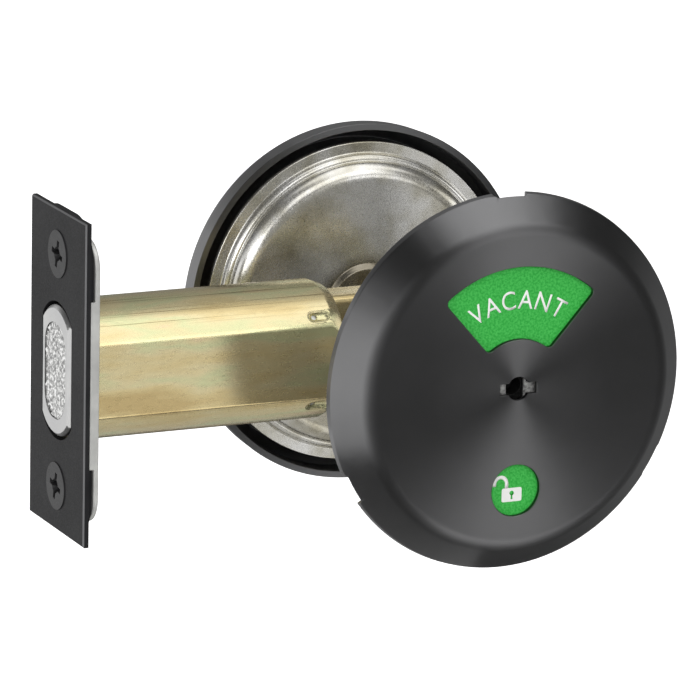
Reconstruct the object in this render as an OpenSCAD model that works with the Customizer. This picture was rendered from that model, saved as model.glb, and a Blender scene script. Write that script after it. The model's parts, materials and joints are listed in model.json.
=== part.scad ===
// Indicator deadbolt for a toilet door, shown unlocked with the bolt drawn in.
// X runs along the bolt into the door, Y from the outside rose to the inside rose, Z is up.
// The origin is where the spindle axis crosses the bolt axis. All sizes are in millimetres.

/* [Door] */
// Distance from the door edge to the spindle axis
backset = 69.85; // [60:0.05:70]
// Distance from the bolt axis to the outside door face
outside_seat = 32.3; // [31:0.1:38]
// Distance from the bolt axis to the inside door face
inside_seat = 28; // [27:0.1:38]
// Travel of the bolt
bolt_throw = 25.4; // [24:0.1:26]

/* [Faceplate] */
// Height of the faceplate
face_h = 57.15; // [56:0.05:60]
// Width of the faceplate
face_w = 25.4; // [25:0.1:28]
// Thickness of the faceplate
face_t = 1.1; // [1:0.1:1.4]
// Edge chamfer of the faceplate
face_chamfer = 0.3; // [0.2:0.05:0.4]
// Thickness of the support plate
support_t = 0.8; // [0.7:0.1:1]
// Set-back of the support plate ends from the faceplate ends
support_end = 0.1; // [0.05:0.025:2]
// Corner radius of the support plate
support_corner = 8; // [6:0.5:10]
// Side set-back of the support plate from the faceplate edge
support_inset = 0.8; // [0.6:0.1:1]
// Thickness of the case flange
flange_t = 0.9; // [0.8:0.1:1.2]
// Distance the flange ears run past the screw axes
ear_past = 4.35; // [4:0.05:5]
// Corner radius of the flange ears
flange_corner = 5; // [3:0.5:6]
// Height of the side lips of the flange
lip_h = 29.6; // [24:0.2:32]
// Gap between the side lips and the support plate
lip_gap = 0.1; // [0.05:0.05:0.2]

/* [Faceplate screws] */
// Distance between the two faceplate screws
face_screw_span = 41.3; // [40:0.1:43]
// Radius of the flat screw heads
face_head_r = 4.2; // [3.8:0.1:4.4]
// Distance the screw heads stand out of the faceplate
face_head_proud = 0.2; // [0.1:0.05:0.3]
// Radius of the faceplate screw threads
face_thread_r = 2.0; // [1.8:0.1:2.2]
// Length of the cross recess
cross_l = 4.8; // [4:0.1:5]
// Width of the cross recess
cross_w = 0.9; // [0.8:0.05:1.1]
// Depth of the cross recess
cross_d = 1.3; // [1:0.1:1.5]
// Radius of the middle of the cross recess
cross_core_r = 1.3; // [1.1:0.1:1.5]
// Radius of the blunt point of the cross recess
cross_tip_r = 0.5; // [0.3:0.1:0.7]
// Depth of the point of the cross recess
cross_tip_d = 1.7; // [1.5:0.1:1.9]
// Angle that the faceplate screws stopped at
cross_turn = 12; // [0:1:90]

/* [Bolt] */
// Width of the deadbolt
bolt_w = 12.4; // [12:0.1:14]
// Radius of the round ends of the bolt section
bolt_end_r = 8; // [7.5:0.1:8.5]
// Edge chamfer of the bolt end
bolt_chamfer = 0.6; // [0.4:0.1:1]
// Distance the drawn-in bolt stands out of the faceplate
bolt_proud = 0.4; // [0.1:0.1:0.6]
// Gap around the bolt in the faceplate
bolt_gap = 0.6; // [0.3:0.05:0.8]
// Gap between the drawn-in bolt and the cam frame
bolt_back_gap = 1.5; // [1:0.05:6]
// Width of the stippled field stamped into the bolt end
stamp_w = 9.6; // [9:0.1:10]
// Height of the stippled field
stamp_h = 17; // [16:0.1:18]
// Corner radius of the stippled field
stamp_c = 4.4; // [4:0.1:4.4]
// Depth of the stippled field
stamp_d = 0.35; // [0.2:0.05:0.4]
// Length of the bolt tail held in the bolt
tail_grip = 10; // [8:0.5:12]
// Radius of the rivet through the bolt and its tail
rivet_r = 1.3; // [1.1:0.1:1.5]

/* [Case tube] */
// Outer radius of the tube
tube_r = 12.3; // [12:0.05:12.5]
// Half width of the tube over its flats
tube_flat = 10.5; // [10.2:0.1:10.8]
// Wall thickness of the tube
tube_t = 0.6; // [0.5:0.05:0.7]
// Gap between the tube end and the mounting screw behind it
tube_screw_gap = 2.6; // [1:0.1:3]
// Length of the crimped tube end
crimp_len = 2.4; // [1.6:0.1:3]
// Inward set of the crimped tube end
crimp_in = 1; // [0.6:0.1:1.2]
// Length of the collar in front of the crimp
collar_len = 5; // [4.4:0.2:6]
// Ball radius of the stake dimples
stake_r = 1.6; // [1.4:0.1:2]
// Depth of the stake dimples
stake_d = 0.5; // [0.3:0.05:0.55]
// Length of a stake dimple between its round ends
stake_l = 1.8; // [1.2:0.1:2]
// Radius of the hole pierced in a stake dimple
stake_hole_r = 0.5; // [0.4:0.05:0.6]
// Distance of the stake dimples from the crimp
stake_back = 2.2; // [2:0.1:2.6]
// Angle of the stake dimples above and below the tube sides
stake_a = 41; // [38:1:50]

/* [Cam] */
// Sheet thickness of the cam frame
frame_t = 1.0; // [0.8:0.1:1]
// Outer bend radius of the cam frame
frame_bend = 1.3; // [1.2:0.1:1.6]
// Gap between the cam frame and the crimped tube end
frame_gap = 0.9; // [0.8:0.1:1.2]
// Distance the cam frame runs past the spindle axis
frame_tail = 10; // [9:0.5:11]
// Distance the cam frame runs in front of the collar
frame_lead = 1; // [0.5:0.5:3]
// Leg of the cut-off corners of the cam frame
frame_cut = 3.5; // [2:0.5:4]
// Gap around the mounting screw in the cam frame
frame_screw_gap = 0.8; // [0.5:0.1:1]
// Radius of the cam hub
hub_r = 4.95; // [4.6:0.05:5.2]
// Width of the hub flange
hub_flange_w = 1.55; // [1.2:0.05:2]
// Thickness of the hub flange
hub_flange_t = 0.75; // [0.6:0.05:1]
// Thickness of the crank arm and of the bolt tail
link_t = 2.2; // [1.8:0.1:2.4]
// Side gap of the crank arm and of the bolt tail
link_gap = 0.4; // [0.3:0.05:0.5]
// Width of the ring of the crank arm around the hub
arm_ring = 2.3; // [1.8:0.1:2.6]
// Width of metal around the crank pin
arm_rim = 1.7; // [1.4:0.1:2]
// Radius of the crank pin
pin_r = 1.75; // [1.5:0.05:1.9]
// Side gap between the crank pin and its slot
pin_gap = 0.68; // [0.66:0.01:0.75]
// End gap between the crank pin and its slot
pin_end_gap = 0.3; // [0.2:0.05:0.5]
// Width of metal beside the slot
slot_wall = 1.75; // [1.5:0.05:1.9]
// Gap between the bolt tail and the hub
tail_hub_gap = 0.65; // [0.5:0.05:1]
// Set-back of the bolt tail from the lower edge of the cam frame
tail_inset = 0.2; // [0.1:0.1:0.5]
// Width of the spindle blade
blade_w = 5; // [4.6:0.1:5.2]
// Thickness of the spindle blade
blade_t = 1.6; // [1.4:0.1:1.8]

/* [Clips] */
// Thickness of the retaining clips
clip_t = 0.7; // [0.6:0.05:0.8]
// Width of a retaining clip outside its shaft
clip_w = 2; // [1.5:0.1:2.4]
// Depth of the clip grooves
groove_d = 0.7; // [0.5:0.05:0.8]
// Opening of the retaining clips
clip_mouth = 3.2; // [2.8:0.1:3.6]
// Length of shaft past each clip
clip_past = 1; // [0.6:0.1:1.4]

/* [Outside rose] */
// Outer radius of the outside rose
rose_r = 33.4; // [33:0.1:34]
// Height of the outside rose above the door
rose_rise = 6.3; // [6.2:0.1:7]
// Height of the straight rim wall
rim_h = 1.2; // [1.1:0.1:1.5]
// Width of the rim where it meets the door
rim_w = 1.4; // [1.2:0.1:1.8]
// Draft of the rim walls of both roses
rim_draft = 0.2; // [0.1:0.05:0.3]
// Width of the bevel
bevel_w = 5.1; // [4.6:0.1:5.4]
// Thickness of the rose sheet
rose_t = 1.0; // [0.9:0.05:1.1]
// Radius of the rounded edge between bevel and face
blend_r = 4; // [3:0.1:5]
// Inner radius of the fan window
fan_in_r = 8.7; // [8.4:0.1:9.2]
// Distance of the fan window from the label edge
fan_margin = 2.5; // [2:0.1:3.5]
// Half angle of the fan window
fan_half = 41.5; // [38:0.5:42]
// Corner radius of the fan window
fan_corner = 1; // [0.6:0.1:1.4]
// Radius of the round window
eye_r = 4.6; // [4.2:0.1:4.8]
// Distance of the round window from the label edge
eye_margin = 1.3; // [1:0.1:2]
// Radius of the tool opening
tool_hole_r = 2.1; // [1.8:0.05:2.3]
// Length of the tool opening
tool_open_l = 7; // [6.5:0.1:7.5]
// Width of the tool opening
tool_open_w = 2; // [1.8:0.1:2.2]
// Length of the rim notches
notch_l = 6.2; // [5:0.1:7]
// Depth of the rim notches
notch_d = 1.5; // [1.2:0.1:1.8]
// Corner radius of the rim notches
notch_c = 0.8; // [0.5:0.1:1]
// Width of the pry slot at the bottom of the rim
pry_w = 5; // [4:0.5:6]
// Height of the pry slot
pry_h = 0.6; // [0.4:0.1:0.8]

/* [Outside housing] */
// Thickness of the housing plate
base_t = 2.1; // [1.8:0.1:2.4]
// Set-back of the housing plate from the door
base_inset = 0.3; // [0.2:0.1:0.5]
// Height of the straight edge of the housing plate
base_edge = 0.7; // [0.5:0.1:1]
// Length of the boss that carries the plug, from the door face
boss_len = 4; // [3:0.5:6]
// Wall of the boss
boss_wall = 3.5; // [3:0.1:4]
// Width of the thrust washer
washer_w = 4; // [3:0.1:4.2]

/* [Release plug] */
// Depth of the plug face behind the face of the rose
plug_drop = 1.5; // [1.4:0.05:1.7]
// Radius of the plug head
plug_r = 5; // [4.8:0.1:5.4]
// Thickness of the plug head
plug_head_t = 0.5; // [0.4:0.05:0.6]
// Radius of the plug journal
plug_shaft_r = 4; // [3.8:0.1:4.2]
// Depth of the flats that drive the disc
plug_flat = 0.8; // [0.6:0.1:1]
// Length of the tool slot
tool_slot_l = 7; // [6.5:0.1:7.5]
// Width of the tool slot
tool_slot_w = 3.4; // [3.3:0.1:3.6]
// Depth of the tool slot
tool_slot_d = 1.2; // [1:0.05:1.4]
// Radius of the pilot hole
pilot_r = 1.6; // [1.4:0.05:1.65]
// Depth of the pilot hole
pilot_d = 4.5; // [4:0.1:4.8]
// Length of the spindle held in the plug
plug_blade_l = 5; // [4:0.1:5.2]

/* [Indicator] */
// Gap between the indicator disc and the inside of the rose
disc_gap = 1.7; // [1:0.1:2.5]
// Thickness of the indicator disc
disc_t = 1.2; // [1:0.1:1.3]
// Thickness of the label film
label_t = 0.25; // [0.2:0.05:0.3]
// Gap between the label film and the rose
label_gap = 0.1; // [0.05:0.05:0.2]
// Bare edge of the disc outside the labels
label_edge = 2; // [1:0.1:2.4]
// Distance of the labels from the plug head
label_core = 1; // [0.6:0.1:1.4]
// Angle left bare between neighbouring label fields
label_split = 2; // [1:0.5:6]

/* [Inside rose] */
// Outer radius of the inside rose
inner_r = 33; // [32.6:0.1:33.6]
// Height of the straight wall of the inside rose
inner_wall = 4; // [3.5:0.1:4.5]
// Height of the inside rose above the door
inner_rise = 9; // [8.8:0.1:10]
// Width of the rim of the inside rose
inner_rim = 1.2; // [1:0.1:1.5]
// Thickness of the face of the inside rose
inner_face_t = 1.2; // [1:0.1:1.5]
// Width of the inner rib that carries the liner
rib_w = 1.4; // [1.2:0.1:1.8]
// Set-back of the rib from the liner edge
rib_inset = 0.1; // [0.05:0.05:0.2]

/* [Liner] */
// Sheet thickness of the liner
liner_t = 0.9; // [0.8:0.05:1]
// Gap between the rim of the inside rose and the liner
liner_gap = 2.2; // [1.8:0.1:2.6]
// Width of the liner flange
liner_flange_w = 3.3; // [3:0.1:3.6]
// Set-back of the liner flange from the door
liner_inset = 0.6; // [0.4:0.1:0.8]
// Width of the bead inside the flange
bead_w = 1.3; // [1.2:0.1:1.6]
// Height of the bead above the door face
bead_rise = 0.5; // [0.3:0.1:0.7]
// Rounding of the bead
bead_round = 0.35; // [0.2:0.05:0.5]
// Height of the raised middle of the liner
liner_rise = 3; // [2.4:0.1:3.4]
// Width of the round shoulder of the raised middle
shoulder = 3.2; // [2.2:0.1:3.6]
// Radius of the spindle hole in the liner
liner_hole_r = 4.2; // [4:0.1:4.5]
// Radius of the boss around the spindle hole
liner_boss_r = 7; // [6.5:0.1:7.5]
// Height of the boss around the spindle hole
liner_boss_h = 0.8; // [0.6:0.1:1]

/* [Fasteners] */
// Distance of each mounting screw from the spindle axis
screw_x = 15; // [14.8:0.1:15.2]
// Radius of the mounting screws
screw_r = 2.4; // [2.1:0.1:2.4]
// Gap around the mounting screws in the liner
screw_gap = 0.2; // [0.1:0.05:0.4]
// Width of the mounting screw heads outside the shank
screw_head_w = 2; // [1.6:0.1:2.2]
// Height of the mounting screw heads
screw_head_t = 2.2; // [1.8:0.1:2.4]
// Outer radius of the screw posts
post_r = 4; // [3.6:0.1:4.2]
// Step of the post neck in the housing plate
post_step = 1; // [0.6:0.1:1.2]
// Length of the screw posts
post_len = 19; // [16:0.5:19]
// Length of the mounting screws in the posts
thread_l = 9; // [7:0.5:10]
// Depth of the post hole past the screw
drill_past = 1.5; // [1:0.1:2]

/* [Thumbturn] */
// Radius of the thumbturn grip
grip_r = 13; // [11:0.5:15]
// Thickness of the thumbturn grip
grip_t = 8; // [7:0.2:9]
// Height of the grip foot above the rose
grip_foot = 1; // [0.5:0.1:2]
// Thickness of the base of the thumbturn
grip_base_t = 3; // [2.5:0.1:4]
// Set-back of the base from the grip radius
grip_base_in = 2.5; // [2:0.1:3]
// Taper of the base
grip_taper = 1; // [0.5:0.1:1.5]
// Curve radius of the finger hollows
hollow_r = 24; // [20:0.5:30]
// Depth of the finger hollows
hollow_d = 1.5; // [1:0.1:2]
// Height of the finger hollows above the base
hollow_rise = 6.5; // [5:0.1:8]
// Radius of the thumbturn shaft
turn_shaft_r = 6; // [5.6:0.1:6.4]
// Length of the spindle held in the thumbturn
turn_blade_l = 8; // [6:0.1:9]
// Wall of the bush
bush_wall = 2; // [1.6:0.1:2.4]
// Width of the bush flange
bush_flange_w = 1.5; // [1.2:0.1:2]
// Thickness of the bush flange
bush_flange_t = 1; // [0.8:0.1:1.2]
// Thickness of the spring washer
spring_t = 0.75; // [0.6:0.05:0.9]
// Width of the spring washer
spring_w = 2.8; // [2.4:0.1:3.2]

/* [Fits] */
// Radial clearance of turning shafts
run_fit = 0.05; // [0.03:0.01:0.08]
// Axial clearance of turning pieces
end_play = 0.05; // [0.03:0.01:0.08]
// Clearance of the bolt inside the tube
slide_fit = 0.1; // [0.08:0.01:0.15]

/* [Hidden] */
$fn = 64;
// Overrun of cutting shapes
e = 0.01;
// Steps in one rounded profile corner
steps = 8;

// Planes along the bolt
x_face = -backset;
x_support = x_face + face_t;
x_flange = x_support + support_t;
x_case = x_flange + flange_t;
x_end = -(screw_x + screw_r + tube_screw_gap);
x_crimp = x_end - crimp_len;
x_collar = x_crimp - collar_len;
x_frame = x_collar - frame_lead;
x_bolt = x_face - bolt_proud;
x_bolt_end = x_frame - bolt_back_gap;
x_grip = x_bolt_end - tail_grip;

// Faceplate stack
flange_h = face_screw_span + 2 * ear_past;
support_w = face_w - 2 * support_inset;
support_h = face_h - 2 * support_end;
lip_w = support_inset - lip_gap;
cone_d = face_head_r - face_thread_r;

// Bolt section
tube_in_r = tube_r - tube_t;
bolt_half_h = tube_in_r - slide_fit;
bolt_c = bolt_half_h - bolt_end_r;

// Cam frame and links
frame_half_h = tube_in_r - crimp_in - frame_gap;
frame_half_w = frame_t + link_t + 1.5 * link_gap;
arm_y0 = -link_gap / 2 - link_t;
arm_y1 = -link_gap / 2;
tail_y0 = link_gap / 2;
tail_y1 = tail_y0 + link_t;
tail_top = -hub_r - tail_hub_gap;
tail_low = -frame_half_h + tail_inset;
tail_z = (tail_top + tail_low) / 2;

// Crank
crank_r = bolt_throw / sqrt(2);
pin_x = bolt_throw / 2;
slot_half = pin_r + pin_gap;
drop_half = slot_half + slot_wall;
slot_top = -pin_x + pin_end_gap;
slot_low = -crank_r - pin_end_gap;
hub_y0 = -frame_half_w - end_play - hub_flange_t;
y_hub_clip = frame_half_w + end_play;
hub_y1 = y_hub_clip + clip_t + clip_past;

// Outside planes
y_seat = -outside_seat;
y_front = y_seat - rose_rise;
y_under = y_front + rose_t;
y_label = y_under + label_gap;
y_disc = y_label + label_t;
y_disc_back = y_disc + disc_t;
y_plug = y_front + plug_drop;
y_plug_seat = y_plug + plug_head_t;
y_base_back = y_seat - base_inset;
y_base = y_base_back - base_t;
y_edge = y_base_back - base_edge;
y_boss = y_seat + boss_len;
y_plug_clip = y_boss + end_play;
y_plug_end = y_plug_clip + clip_t + clip_past;

// Outside rose profile
rim_in_r = rose_r - rim_w;
bevel_in_r = rose_r - rim_draft - bevel_w;
bevel_h = rose_rise - rim_h;
slope = bevel_w / bevel_h;
bevel_a = atan2(bevel_h, bevel_w);
under_r = rim_in_r - (y_edge - y_under) * slope;

// Indicator and its windows
disc_r = under_r - disc_gap;
disc_flat = plug_shaft_r - plug_flat;
label_out_r = disc_r - label_edge;
label_in_r = plug_r + label_core;
label_half = (90 - label_split) / 2;
fan_out_r = label_out_r - fan_margin;
eye_drop = label_out_r - eye_margin - eye_r;

// Inside planes
y_in = inside_seat;
y_in_face = y_in + inner_rise;
y_in_under = y_in_face - inner_face_t;
y_wall = y_in + inner_wall;
y_liner = y_in + liner_inset;
y_rib = y_liner + liner_t;
y_bead = y_in - bead_rise;
y_plateau = y_in - liner_rise;
y_bush = y_in_under - bush_flange_t;
y_spring = y_bush - spring_t;
y_turn_clip = y_spring - end_play - clip_t;
y_turn_end = y_turn_clip - clip_past;
y_grip = y_in_face + end_play;
y_grip_c = y_grip + grip_base_t;

// Inside rose and liner profiles
inner_in_r = inner_r - inner_rim;
inner_chamfer = inner_rise - inner_wall;
inner_flat_r = inner_r - rim_draft - inner_chamfer;
liner_r = inner_in_r - liner_gap;
pilot_ring_r = liner_r - liner_flange_w;
rib_out_r = liner_r - rib_inset;
rib_in_r = rib_out_r - rib_w;
bush_r = turn_shaft_r + bush_wall;
grip_base_r = grip_r - grip_base_in;

// Mounting screws
screw_head_r = screw_r + screw_head_w;
y_post_end = y_seat + post_len;
y_screw_end = y_post_end - thread_l;
y_head = y_plateau + liner_t;

module along_x(x0, x1) {
    translate([x0, 0, 0])
        rotate([90, 0, 90])
            linear_extrude(x1 - x0)
                children();
}

module along_y(y0, y1) {
    translate([0, y1, 0])
        rotate([90, 0, 0])
            linear_extrude(y1 - y0)
                children();
}

module about_y() {
    rotate([-90, 0, 0])
        rotate_extrude($fn = 96)
            children();
}

module rod_y(r, y0, y1) {
    translate([0, y0, 0])
        rotate([-90, 0, 0])
            cylinder(r = r, h = y1 - y0);
}

module round_rect(w, h, r) {
    square([w - 2 * r, h], center = true);
    square([w, h - 2 * r], center = true);
    for (sx = [-1, 1])
        for (sy = [-1, 1])
            translate([sx * (w / 2 - r), sy * (h / 2 - r)])
                circle(r);
}

module bolt_section(grow) {
    intersection() {
        square([bolt_w + 2 * grow, 2 * bolt_half_h + 2 * grow], center = true);
        union() {
            square([bolt_w + 2 * grow, 2 * bolt_c], center = true);
            for (s = [-1, 1])
                translate([0, s * bolt_c])
                    circle(bolt_end_r + grow);
        }
    }
}

module tube_section(cut) {
    intersection() {
        circle(tube_r - cut);
        square([2 * (tube_flat - cut), 2 * tube_r], center = true);
    }
}

module face_screw_bodies() {
    for (s = [-1, 1])
        translate([x_face, 0, s * face_screw_span / 2])
            rotate([0, 90, 0]) {
                translate([0, 0, -face_head_proud])
                    cylinder(r = face_head_r, h = face_head_proud);
                cylinder(r1 = face_head_r, r2 = face_thread_r, h = cone_d);
                cylinder(r = face_thread_r, h = x_case - x_face);
            }
}

module cross_recess() {
    for (a = [0, 90])
        rotate([0, 0, a])
            translate([-cross_l / 2, -cross_w / 2, -e])
                cube([cross_l, cross_w, cross_d + e]);
    translate([0, 0, -e])
        cylinder(r1 = cross_core_r, r2 = cross_tip_r, h = cross_tip_d);
}

module groove(r, y) {
    difference() {
        rod_y(r + groove_d, y, y + clip_t);
        rod_y(r - groove_d, y - e, y + clip_t + e);
    }
}

module clip(r, y) {
    along_y(y, y + clip_t)
        difference() {
            circle(r + clip_w);
            circle(r - groove_d);
            translate([-clip_mouth / 2, 0])
                square([clip_mouth, r + 2 * clip_w]);
        }
}

module blade(y0, y1) {
    translate([-blade_t / 2, y0, -blade_w / 2])
        cube([blade_t, y1 - y0, blade_w]);
}

module faceplate() {
    color("#34353a")
    difference() {
        intersection() {
            translate([0, 0, -face_h / 2])
                linear_extrude(face_h)
                    plate_edge(face_w / 2);
            translate([0, face_w / 2, 0])
                rotate([90, 0, 0])
                    linear_extrude(face_w)
                        plate_edge(face_h / 2);
        }
        along_x(x_face - e, x_support + e)
            bolt_section(bolt_gap);
        face_screw_bodies();
    }
}

module plate_edge(half) {
    polygon([
        [x_face, face_chamfer - half],
        [x_face + face_chamfer, -half],
        [x_support, -half],
        [x_support, half],
        [x_face + face_chamfer, half],
        [x_face, half - face_chamfer]]);
}

module support_plate() {
    color("#222326")
    difference() {
        along_x(x_support, x_flange)
            difference() {
                round_rect(support_w, support_h, support_corner);
                bolt_section(bolt_gap);
            }
        face_screw_bodies();
    }
}

module faceplate_screws() {
    color("#2b2c30")
    difference() {
        face_screw_bodies();
        for (s = [-1, 1])
            translate([x_face - face_head_proud, 0, s * face_screw_span / 2])
                rotate([0, 90, 0])
                    rotate([0, 0, cross_turn])
                        cross_recess();
    }
}

module case_flange() {
    color("#a7a8a4")
    difference() {
        union() {
            along_x(x_flange, x_case)
                round_rect(face_w, flange_h, flange_corner);
            for (s = [-1, 1])
                along_x(x_support, x_flange)
                    translate([s * (face_w / 2 - lip_w / 2), 0])
                        square([lip_w, lip_h], center = true);
        }
        along_x(x_flange - e, x_case + e)
            tube_section(0);
        face_screw_bodies();
    }
}

module tube_body(cut, over) {
    end_r = tube_r - cut - crimp_in * (crimp_len + over) / crimp_len;
    along_x(x_flange - over, x_crimp)
        tube_section(cut);
    intersection() {
        translate([x_crimp, 0, 0])
            rotate([0, 90, 0])
                cylinder(r1 = tube_r - cut, r2 = end_r, h = crimp_len + over);
        along_x(x_crimp, x_end + over)
            square([2 * (tube_flat - cut), 2 * tube_r], center = true);
    }
}

module stake() {
    for (x = [0, stake_l])
        translate([x, 0, 0])
            sphere(stake_r, $fn = 24);
    rotate([0, 90, 0])
        cylinder(r = stake_r, h = stake_l, $fn = 24);
    translate([0, -2 * stake_r, 0])
        rotate([-90, 0, 0])
            cylinder(r = stake_hole_r, h = 2 * stake_r, $fn = 24);
}

module bolt_tube() {
    color("#c9bb7a")
    difference() {
        tube_body(0, 0);
        tube_body(tube_t, e);
        for (a = [-stake_a, stake_a, 180 - stake_a, 180 + stake_a])
            rotate([a, 0, 0])
                translate([x_crimp - stake_back - stake_l / 2, tube_r + stake_r - stake_d, 0])
                    stake();
    }
}

module end_collar() {
    color("#8f8f89")
    along_x(x_collar, x_crimp)
        difference() {
            tube_section(tube_t);
            frame_outline(0);
        }
}

module frame_outline(cut) {
    half = frame_half_w - cut;
    top = frame_half_h - cut;
    low = -frame_half_h - cut;
    bend = frame_bend - cut;
    translate([-half, low])
        square([2 * half, top - bend - low]);
    translate([bend - half, low])
        square([2 * (half - bend), top - low]);
    for (s = [-1, 1])
        translate([s * (half - bend), top - bend])
            circle(bend);
}

module cam_frame() {
    corner = frame_cut * sqrt(2);
    color("#bfae72")
    difference() {
        along_x(x_frame, frame_tail)
            difference() {
                frame_outline(0);
                frame_outline(frame_t);
            }
        rod_y(hub_r + run_fit, -frame_half_w - e, frame_half_w + e);
        translate([-screw_x, 0, 0])
            rod_y(screw_r + frame_screw_gap, -frame_half_w - e, frame_half_w + e);
        for (s = [-1, 1])
            translate([frame_tail, 0, s * frame_half_h])
                rotate([0, 45, 0])
                    cube([corner, 2 * frame_half_w + 2 * e, corner], center = true);
    }
}

module deadbolt() {
    half_w = bolt_w / 2;
    x_straight = x_bolt + bolt_chamfer;
    color("#c4c5c4")
    difference() {
        intersection() {
            union() {
                along_x(x_bolt, x_bolt_end)
                    square([2 * bolt_end_r, 2 * bolt_c], center = true);
                for (s = [-1, 1])
                    translate([x_bolt, 0, s * bolt_c])
                        rotate([0, 90, 0]) {
                            cylinder(r1 = bolt_end_r - bolt_chamfer, r2 = bolt_end_r, h = bolt_chamfer);
                            translate([0, 0, bolt_chamfer])
                                cylinder(r = bolt_end_r, h = x_bolt_end - x_straight);
                        }
            }
            translate([0, 0, -2 * bolt_half_h])
                linear_extrude(4 * bolt_half_h)
                    polygon([
                        [x_bolt, bolt_chamfer - half_w],
                        [x_straight, -half_w],
                        [x_bolt_end, -half_w],
                        [x_bolt_end, half_w],
                        [x_straight, half_w],
                        [x_bolt, half_w - bolt_chamfer]]);
        }
        along_x(x_bolt - e, x_bolt + stamp_d)
            round_rect(stamp_w, stamp_h, stamp_c);
        translate([x_grip, tail_y0, tail_low])
            cube([tail_grip + e, link_t, tail_top - tail_low]);
        translate([x_grip + tail_grip / 2, 0, tail_z])
            rod_y(rivet_r, -half_w - e, half_w + e);
    }
}

module bolt_tail() {
    color("#9a9b99")
    difference() {
        along_y(tail_y0, tail_y1)
            difference() {
                union() {
                    translate([x_grip, tail_low])
                        square([pin_x - x_grip, tail_top - tail_low]);
                    translate([pin_x - drop_half, slot_low])
                        square([2 * drop_half, tail_top - slot_low]);
                    translate([pin_x, slot_low])
                        circle(drop_half);
                }
                translate([pin_x - slot_half, slot_low])
                    square([2 * slot_half, slot_top - slot_low]);
                for (z = [slot_low, slot_top])
                    translate([pin_x, z])
                        circle(slot_half);
            }
        translate([x_grip + tail_grip / 2, 0, tail_z])
            rod_y(rivet_r, tail_y0 - e, tail_y1 + e);
    }
}

module tail_rivet() {
    color("#8a8b88")
    translate([x_grip + tail_grip / 2, 0, tail_z])
        rod_y(rivet_r, -bolt_w / 2, bolt_w / 2);
}

module cam_hub() {
    color("#8d8e8b")
    difference() {
        union() {
            rod_y(hub_r + hub_flange_w, hub_y0, hub_y0 + hub_flange_t);
            rod_y(hub_r, hub_y0, hub_y1);
        }
        groove(hub_r, y_hub_clip);
        blade(hub_y0 - e, hub_y1 + e);
    }
}

module hub_clip() {
    color("#5f605e")
    clip(hub_r, y_hub_clip);
}

module crank_arm() {
    arm_half = pin_r + arm_rim;
    color("#95968f")
    along_y(arm_y0, arm_y1)
        difference() {
            union() {
                circle(hub_r + arm_ring);
                rotate(-45)
                    translate([0, -arm_half])
                        square([crank_r, 2 * arm_half]);
                translate([pin_x, -pin_x])
                    circle(arm_half);
            }
            circle(hub_r);
            translate([pin_x, -pin_x])
                circle(pin_r);
        }
}

module crank_pin() {
    color("#b2b3b0")
    translate([pin_x, 0, -pin_x])
        rod_y(pin_r, arm_y0, tail_y1);
}

module spindle() {
    color("#a3a49f")
    blade(y_plug_end - plug_blade_l, y_turn_end + turn_blade_l);
}

module sector(a, r) {
    polygon([[0, 0], [r * tan(a), r], [-r * tan(a), r]]);
}

module fan_shape() {
    c_out = fan_out_r - fan_corner;
    c_in = fan_in_r + fan_corner;
    d_out = asin(fan_corner / c_out);
    d_in = asin(fan_corner / c_in);
    mid_r = (fan_in_r + fan_out_r) / 2;
    intersection() {
        difference() {
            circle(sqrt(pow(c_out, 2) - pow(fan_corner, 2)));
            circle(sqrt(pow(c_in, 2) - pow(fan_corner, 2)));
        }
        sector(fan_half, 2 * fan_out_r);
    }
    intersection() {
        difference() {
            circle(fan_out_r);
            circle(mid_r);
        }
        sector(fan_half - d_out, 2 * fan_out_r);
    }
    intersection() {
        difference() {
            circle(mid_r);
            circle(fan_in_r);
        }
        sector(fan_half - d_in, 2 * fan_out_r);
    }
    for (s = [-1, 1]) {
        rotate(s * (fan_half - d_out))
            translate([0, c_out])
                circle(fan_corner);
        rotate(s * (fan_half - d_in))
            translate([0, c_in])
                circle(fan_corner);
    }
}

module outside_rose() {
    blend_x = bevel_in_r - blend_r * tan(bevel_a / 2);
    blend = [for (i = [0 : steps])
        let (a = bevel_a * i / steps)
        [blend_x + blend_r * sin(a), y_front + blend_r * (1 - cos(a))]];
    color("#2e2f33")
    difference() {
        about_y()
            polygon(concat(
                [[0, y_under], [0, y_front]],
                blend,
                [[rose_r - rim_draft, y_seat - rim_h],
                [rose_r, y_seat],
                [rim_in_r, y_seat],
                [rim_in_r, y_edge],
                [under_r, y_under]]));
        along_y(y_front - e, y_under + e)
            fan_shape();
        translate([0, 0, -eye_drop])
            rod_y(eye_r, y_front - e, y_under + e);
        along_y(y_front - e, y_under + e) {
            circle(tool_hole_r);
            square([tool_open_l, tool_open_w], center = true);
        }
        for (a = [90, 210, 330])
            rotate([0, -a, 0])
                along_x(rim_in_r - rim_w, 2 * rose_r)
                    translate([y_seat, 0])
                        round_rect(2 * notch_d, notch_l, notch_c);
        translate([-pry_w / 2, y_seat - pry_h, -rose_r - e])
            cube([pry_w, 2 * pry_h, rim_w / 2]);
    }
}

module outside_housing() {
    boss_r = plug_shaft_r + boss_wall;
    hole_r = plug_shaft_r + run_fit;
    color("#9c9d99")
    difference() {
        about_y()
            polygon([
                [hole_r, y_base],
                [rim_in_r - (y_edge - y_base) * slope, y_base],
                [rim_in_r, y_edge],
                [rim_in_r, y_base_back],
                [boss_r, y_base_back],
                [boss_r, y_boss],
                [hole_r, y_boss]]);
        for (s = [-1, 1])
            translate([s * screw_x, 0, 0])
                rod_y(post_r - post_step, y_base - e, y_base_back + e);
    }
}

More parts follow.
